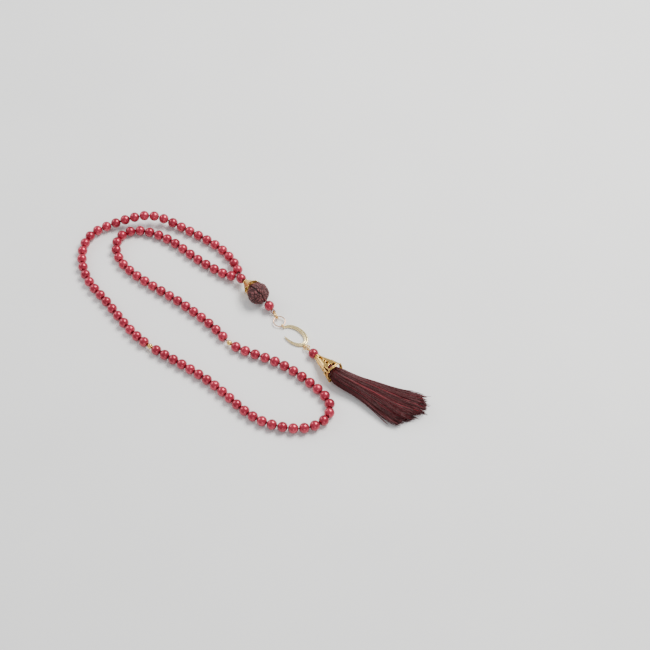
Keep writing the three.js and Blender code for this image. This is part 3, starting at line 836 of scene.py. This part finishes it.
def make_crescent():
    """A flat open crescent with rounded edges, a bright groove along its middle and an eyelet at each end."""
    steps, profile = 90, 28
    points = []
    for i in range(steps + 1):
        t = i / steps
        angle = CRESCENT_ARC[0] + (CRESCENT_ARC[1] - CRESCENT_ARC[0]) * t
        a, b = CRESCENT_HALF_SIZE
        out = Vector((math.cos(angle) / a, math.sin(angle) / b, 0)).normalized()
        thin, wide = CRESCENT_HALF_WIDTH
        half = thin + (wide - thin) * max(0.0, math.sin(math.pi * t)) ** (0.8 if t < 0.5 else 1.5)
        centre = CRESCENT + Vector((a * math.cos(angle), b * math.sin(angle), CRESCENT_THICK / 2))
        taper = 1 - 0.5 * (abs(2 * t - 1) ** 12)
        for j in range(profile):
            q = j * TAU / profile
            c, s = math.cos(q), math.sin(q)
            offset = math.copysign(abs(c) ** 0.55, c) * half * taper
            high = math.copysign(abs(s) ** 0.55, s) * CRESCENT_THICK / 2 * taper
            if s > 0:
                high -= 0.3 * math.exp(-((offset / (0.28 * half)) ** 2)) * min(1.0, 3 * s)
                high += 0.05 * math.cos(t * TAU * 46) * math.exp(-(((abs(offset) / half - 0.62) / 0.2) ** 2))
            points.append(centre + out * offset + UP * high)
    faces = grid_faces(steps + 1, profile)
    faces.append(tuple(range(profile - 1, -1, -1)))
    faces.append(tuple(range(steps * profile, (steps + 1) * profile)))
    shape = Shape().add(points, faces)
    for centre, axis in ((EYELET, level(HEAD_AXIS)), (FAR_EYELET, level(LOWER_RING - FAR_EYELET))):
        path = loop_points(centre, axis, UP, EYELET_R, EYELET_R, 48)
        shape.tube(path, EYELET_WIRE_R, 12, closed=True)
    finish_piece(shape.make("crescent_plate", PALE_GOLD), "crescent_link", "pale_gold", "crescent_link")


make_chain()
make_crescent()

# ---------------------------------------------------------------- tassel


def cap_radius(s, angle):
    t = s / CAP_LENGTH
    corner = CAP_CORNERS[0] + (CAP_CORNERS[1] - CAP_CORNERS[0]) * t
    power = 2 - 0.8 * min(1, t * 1.6)
    return corner / (abs(math.cos(angle)) ** power + abs(math.sin(angle)) ** power) ** (1 / power)


CAP_SIDE, CAP_UP = across(TASSEL_AXIS)


def cap_point(s, angle, lift=0.0):
    radius = cap_radius(s, angle) + lift
    return (CAP_APEX + TASSEL_AXIS * s + CAP_SIDE * (radius * math.cos(angle + CAP_ROLL))
            + CAP_UP * (radius * math.sin(angle + CAP_ROLL)))


def face_width(s):
    """From a face's middle to its corner, across the face."""
    t = s / CAP_LENGTH
    return (CAP_CORNERS[0] + (CAP_CORNERS[1] - CAP_CORNERS[0]) * t) * math.sin(math.pi / 4)


# The openings of one face, in mm along the cap from its point.
HOLES = ((5.2, 1.5, 0.7), (9.8, 0.0, 0.9), (13.0, 0.0, 1.1))  # middle, half the straight part, radius
MOON_FLAT, MOON_R = 19.9, 3.7
ARCH_START, ARCH_END, ARCH_HALF = 13.2, 21.2, 1.25
WIRE_OUT = 0.15  # from the edge of an opening to the middle of its wire
WIRE_LIFT = 0.05


def arch_half(s, start, widest):
    """Half the width at s of the narrow pointed arch along a corner."""
    return widest * max(0.0, min(1.0, (s - start) / 6.5)) ** 0.7


def rim_at(share):
    """Where the cap's rim lies: share is 0 at a face's middle and 1 at its corner."""
    return 20.9 + 0.9 * math.cos(min(1.0, abs(share) / 0.8) * math.pi / 2)


# Signed distances in mm, negative inside: u is across from the face's middle, c is across from its corner,
# and s is along the cap.
def slot_at(u, s, centre, half_length, radius):
    over = max(abs(s - centre) - half_length, 0.0)
    return math.hypot(u, over) - radius


def moon_at(u, s):
    return max(math.hypot(u, s - MOON_FLAT) - MOON_R, s - MOON_FLAT)


def arch_at(c, s):
    return max(c - arch_half(s, ARCH_START, ARCH_HALF), ARCH_START - s, s - ARCH_END)


def opening(s, angle):
    quarter = angle % (math.pi / 2) - math.pi / 4
    u = math.tan(quarter) * face_width(s)
    corner = face_width(s) - abs(u)
    below_rim = rim_at(u / face_width(s)) - s if corner > 1.3 else 9.0
    return min(*(slot_at(u, s, *hole) for hole in HOLES), moon_at(u, s), arch_at(corner, s), below_rim)


def to_opening_edge(s, a, step_s, step_a):
    """Moves a point of the cap onto the edge of the nearest opening, by one step of the grid at most."""
    s0, a0 = s, a
    h = 0.02
    for _ in range(4):
        here = opening(s, a)
        width = max(cap_radius(s, a), 1.0)
        ds = (opening(s + h, a) - here) / h
        da = (opening(s, a + h / width) - here) / h
        size = ds * ds + da * da
        if size < 1e-6:
            break
        s -= 0.8 * here * ds / size
        a -= 0.8 * here * da / size / width
    s = min(max(s, s0 - step_s), s0 + step_s)
    a = min(max(a, a0 - step_a), a0 + step_a)
    return min(max(s, 0.0), CAP_LENGTH), a


def cap_wall():
    """Points and faces of the pierced wall: a grid without its cells inside the openings, fitted to their
    edges, the same again one wall further in, and the faces between."""
    around, rows, wall = 240, 96, 0.8
    step_s, step_a = CAP_LENGTH / rows, TAU / around
    places = [(i * step_s, j * step_a) for i in range(rows + 1) for j in range(around)]
    value = [opening(s, a) for s, a in places]
    keep = [f for f in grid_faces(rows + 1, around) if sum(value[c] for c in f) > 0]
    uses = {}
    for f in keep:
        for k in range(4):
            edge = tuple(sorted((f[k], f[(k + 1) % 4])))
            uses[edge] = uses.get(edge, 0) + 1
    open_edges = [edge for edge, n in uses.items() if n == 1]
    on_edge = {c for edge in open_edges for c in edge if 0 < c // around < rows}
    kept = sorted({c for f in keep for c in f})
    index = {c: k for k, c in enumerate(kept)}
    moved = [to_opening_edge(*places[c], step_s, step_a) if c in on_edge else places[c] for c in kept]
    points = [cap_point(s, a) for s, a in moved] + [cap_point(s, a, -wall) for s, a in moved]
    count = len(kept)
    faces = [tuple(index[c] for c in f) for f in keep]
    faces += [tuple(count + index[c] for c in reversed(f)) for f in keep]
    faces += [(index[a], index[b], count + index[b], count + index[a]) for a, b in open_edges]
    return points, faces


def add_face_wires(shape, middle):
    """The raised wires of one face: round its holes and round the half moon."""

    def on_face(u, s):
        return cap_point(s, middle + math.atan(u / face_width(s)), WIRE_LIFT)

    for centre, half, radius in HOLES:
        path = []
        for k in range(36):
            q = k * TAU / 36
            s = centre + (radius + WIRE_OUT) * math.sin(q) + math.copysign(half, math.sin(q) + 1e-9)
            path.append(on_face((radius + WIRE_OUT) * math.cos(q), s))
        shape.tube(path, 0.22, 8, closed=True)
    out = MOON_R + WIRE_OUT
    moon = []
    for k in range(31):
        q = math.pi + k * math.pi / 30
        moon.append(on_face(out * math.cos(q), MOON_FLAT + out * math.sin(q)))
    moon += [on_face(out - 2 * out * k / 20, MOON_FLAT + 0.1) for k in range(1, 20)]
    shape.tube(moon, 0.24, 8, closed=True)


def add_corner_wires(shape, corner):
    """The raised wires of one corner: round its arch and along its foot."""
    start = ARCH_START - 0.2
    arch = []
    for k in range(41):
        t = k / 40
        s = start + 8.3 * math.sin(t * math.pi)
        turn = math.atan(arch_half(s, start, ARCH_HALF + 0.1) / face_width(s)) * 0.95
        arch.append(cap_point(s, corner + (-turn if t < 0.5 else turn), WIRE_LIFT))
    shape.tube(arch, 0.26, 8)
    foot = [cap_point(21.35, corner + (k / 10 - 1) * 0.16) for k in range(21)]
    shape.tube(foot, 0.3, 8)


def add_rim_wire(shape, middle):
    rim = []
    for k in range(31):
        share = -0.84 + 1.68 * k / 30
        s = rim_at(share)
        rim.append(cap_point(s, middle + math.atan(share * face_width(21.5) / face_width(s)), WIRE_LIFT))
    shape.tube(rim, 0.3, 8)


def make_tassel_cap():
    shape = Shape().add(*cap_wall())
    for face in range(4):
        middle = math.pi / 4 + face * math.pi / 2
        add_face_wires(shape, middle)
        add_corner_wires(shape, face * math.pi / 2)
        add_rim_wire(shape, middle)
    for s, radius in ((0.25, 0.42), (1.6, 0.25)):
        path = [cap_point(s, k * TAU / 48, WIRE_LIFT) for k in range(48)]
        shape.tube(path, radius, 10, closed=True)
    obj = shape.make("pierced_cap", GOLD, frame_at=(CAP_APEX + TASSEL_AXIS * 11, TASSEL_AXIS))
    finish_piece(obj, "tassel", "gold", "tassel_cap")


def make_pin():
    """The eye pin: a bent loop, two turns of wrap below it and the shank through the pearl into the cap."""
    loop = circle(PIN_LOOP, TASSEL_AXIS, CAP_UP, PIN_LOOP_R, 56)
    shape = Shape().tube(loop, WIRE_R, 12, closed=True)
    shank = [CAP_APEX + TASSEL_AXIS * (-9.2 + 15 * k / 20) for k in range(21)]
    shape.tube(shank, WIRE_R, 12)
    wrap = [CAP_APEX + TASSEL_AXIS * (-8.9 + 0.62 * k / 40) for k in range(41)]
    shape.tube(wound(wrap, CAP_SIDE, CAP_UP, 0.62, 20), 0.25, 8)
    finish_piece(shape.make("eye_pin", GOLD), "tassel", "gold", "tassel_pin")


def make_binding():
    """The gathered top of the thread, wound round inside the cap."""
    profile = ((10.5, 2.2), (12, 2.9), (16, 3.9), (20.4, 4.5))
    shape = Shape()
    core = [CAP_APEX + TASSEL_AXIS * s for s, _ in profile]
    shape.tube(core, [r * 0.93 for _, r in profile], 28, tone=0.3)
    turns, steps = 26, 24
    winding = []
    for k in range(turns * steps + 1):
        s = 10.8 + 9.4 * k / (turns * steps)
        for (s0, r0), (s1, r1) in zip(profile, profile[1:]):
            if s0 <= s <= s1:
                radius = r0 + (r1 - r0) * (s - s0) / (s1 - s0)
        q = k * TAU / steps
        out = CAP_SIDE * math.cos(q) + CAP_UP * math.sin(q)
        winding.append(CAP_APEX + TASSEL_AXIS * s + out * (radius * 0.95))
    shape.tube(winding, 0.2, 6, tone=0.75)
    finish_piece(shape.make("bound_thread", THREAD, tones=shape.tones), "tassel", "thread", "tassel_binding")


def skirt_frames():
    """Centre, side, up, half width and half height along the skirt, finely spaced."""
    rows = [Vector(r[:3]) for r in SKIRT]
    line = smooth_line(rows, 8)
    frames = []
    for i, centre in enumerate(line):
        before, after = line[max(i - 1, 0)], line[min(i + 1, len(line) - 1)]
        t = i / 8
        k = min(int(t), len(SKIRT) - 2)
        f = t - k
        half_w = SKIRT[k][3] + (SKIRT[k + 1][3] - SKIRT[k][3]) * f
        half_h = SKIRT[k][4] + (SKIRT[k + 1][4] - SKIRT[k][4]) * f
        axis = TASSEL_AXIS if t < 2 else level(after - before)
        side, up = across(axis)
        frames.append((centre, side, up, half_w, half_h))
    return frames


STRANDS = 760
# How far the tips reach past the skirt's last row, in mm, across it from the far side to the near one.
TIPS = ((-1.05, -1.5), (-0.7, 3.5), (-0.2, 5.5), (0.33, 0), (0.8, -5), (1.25, -8.5))


def tip_offset(u):
    u = min(max(u, TIPS[0][0]), TIPS[-1][0])
    for (u0, s0), (u1, s1) in zip(TIPS, TIPS[1:]):
        if u <= u1:
            return s0 + (s1 - s0) * (u - u0) / (u1 - u0)


def skirt_point(frames, t, u, v):
    """A point at t along the skirt, u and v across it in half widths and half heights. Past t = 1 the line
    goes straight on."""
    last = len(frames) - 1
    x = max(t, 0.0) * last
    k = min(int(x), last - 1)
    f = x - k
    a, b = frames[k], frames[k + 1]
    share = min(f, 1.0)
    centre = a[0] + (b[0] - a[0]) * f
    side, up = a[1].lerp(b[1], share).normalized(), a[2].lerp(b[2], share).normalized()
    half_w, half_h = (a[i] + (b[i] - a[i]) * share for i in (3, 4))
    return centre + side * (u * half_w) + up * (v * half_h)


def add_skirt_shade_core(shape, frames):
    """A dark core under the threads, painted shade for the inside of the tassel, which narrows and stops
    short of their tips.
    """
    rows, around = 12, 24
    core = []
    for i in range(rows + 1):
        t = 0.86 * i / rows
        fade = 1 if i < 11 else 0.9 - 0.35 * (i - 10)
        for j in range(around):
            q = j * TAU / around
            p = skirt_point(frames, t, 0.8 * fade * math.cos(q), 0.76 * fade * math.sin(q))
            p.z = max(p.z, 0.35)
            core.append(p)
    faces = grid_faces(rows + 1, around)
    faces += [tuple(range(around - 1, -1, -1)), tuple(range(rows * around, (rows + 1) * around))]
    # Tone 0.2 makes the core dark: painted shade between the threads.
    shape.add(core, faces, 0.2)


def add_thread(shape, frames, length, turn, outer):
    """One thread, near the skirt's surface if outer. A few stray further out."""
    q = turn.uniform(0, TAU)
    r = math.sqrt(turn.uniform(0.62, 1.0)) if outer else math.sqrt(turn.uniform(0.1, 0.8))
    u, v = r * math.cos(q), r * math.sin(q)
    drift = turn.gauss(0, 0.05)
    drift_v = turn.gauss(0, 0.06)
    phase, phase_v = turn.uniform(0, TAU), turn.uniform(0, TAU)
    sway = turn.uniform(0.006, 0.022)
    stray = turn.random() < 0.09
    if stray:
        drift = math.copysign(abs(turn.gauss(0.06, 0.14)), u) * (1.1 if u > 0 else 0.6)
    beyond = tip_offset(u + drift) - 6.5 * turn.random() ** 2 + (2.5 * turn.random() if stray else 0)
    end = 1 + beyond / length
    curl, curl_from = turn.gauss(0, 0.05), turn.uniform(0.72, 0.9)
    radius = turn.uniform(0.16, 0.26)
    path, radii = [], []
    steps = 22
    for k in range(steps + 1):
        t = end * k / steps
        spread = 1 + (drift + 0.05 * (abs(u) > 0.7)) * max(0.0, t - 0.55) / 0.45
        uu = u * spread + sway * math.sin(phase + t * 9) + drift * t * t * 0.6
        uu += curl * (max(0.0, t - curl_from) / 0.2) ** 2
        vv = v * (1 - 0.03 * math.sin(phase_v + t * 5)) + drift_v * t * t
        uu = min(max(uu, -1.06), 1.04 + 0.5 * max(0.0, t - 0.6))
        p = skirt_point(frames, t, uu, vv)
        p.z = max(p.z, radius + 0.06 + 0.12 * turn.random())
        path.append(p)
        radii.append(radius * (1 if k < steps else 0.55))
    tone = min(1.0, max(0.0, turn.gauss(0.48, 0.2)))
    shape.tube(path, radii, sides=5, tone=tone)


def make_skirt():
    frames = skirt_frames()
    length = sum((b[0] - a[0]).length for a, b in zip(frames, frames[1:]))
    turn = random.Random(5)
    shape = Shape()
    add_skirt_shade_core(shape, frames)
    for n in range(STRANDS):
        add_thread(shape, frames, length, turn, outer=n % 3)
    obj = shape.make("tassel_thread", THREAD, tones=shape.tones)
    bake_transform(obj)
    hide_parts("tassel_skirt", "tassel_skirt_end")


make_tassel_cap()
make_pin()
make_binding()
make_skirt()

# ---------------------------------------------------------------- floor and light


def make_stage():
    size = 6.0
    mesh = bpy.data.meshes.new("floor")
    corners = [(-size, -size, 0), (size, -size, 0), (size, size, 0), (-size, size, 0)]
    mesh.from_pydata(corners, [], [(0, 1, 2, 3)])
    mesh.materials.append(floor_material())
    floor = bpy.data.objects.new("floor", mesh)
    floor.location.z = -0.0001
    bpy.context.scene.collection.objects.link(floor)


def soft_light(name, place, aim, size, power, colour=(1, 1, 1), size_y=None):
    data = bpy.data.lights.new(name, "AREA")
    data.energy = power
    data.color = colour
    data.shape = "RECTANGLE"
    data.size = size
    data.size_y = size_y or size
    light = bpy.data.objects.new(name, data)
    light.location = place
    light.rotation_euler = (Vector(aim) - Vector(place)).to_track_quat("-Z", "Y").to_euler()
    bpy.context.scene.collection.objects.link(light)


def make_lights():
    world = bpy.data.worlds.new("studio")
    world.use_nodes = True
    world.node_tree.nodes["Background"].inputs["Color"].default_value = (0.95, 0.97, 1, 1)
    world.node_tree.nodes["Background"].inputs["Strength"].default_value = 0.56
    bpy.context.scene.world = world
    soft_light("key", (0.15, 0.75, 1.15), (0, 0, 0), 0.8, 30.0, (1, 0.985, 0.96), 0.6)
    soft_light("fill_left", (-1.3, -0.2, 0.8), (0, 0, 0), 0.8, 8.0, (0.96, 0.98, 1))
    soft_light("fill_front", (1.1, -0.9, 0.5), (0, 0, 0), 0.6, 3.0)


make_stage()
make_lights()
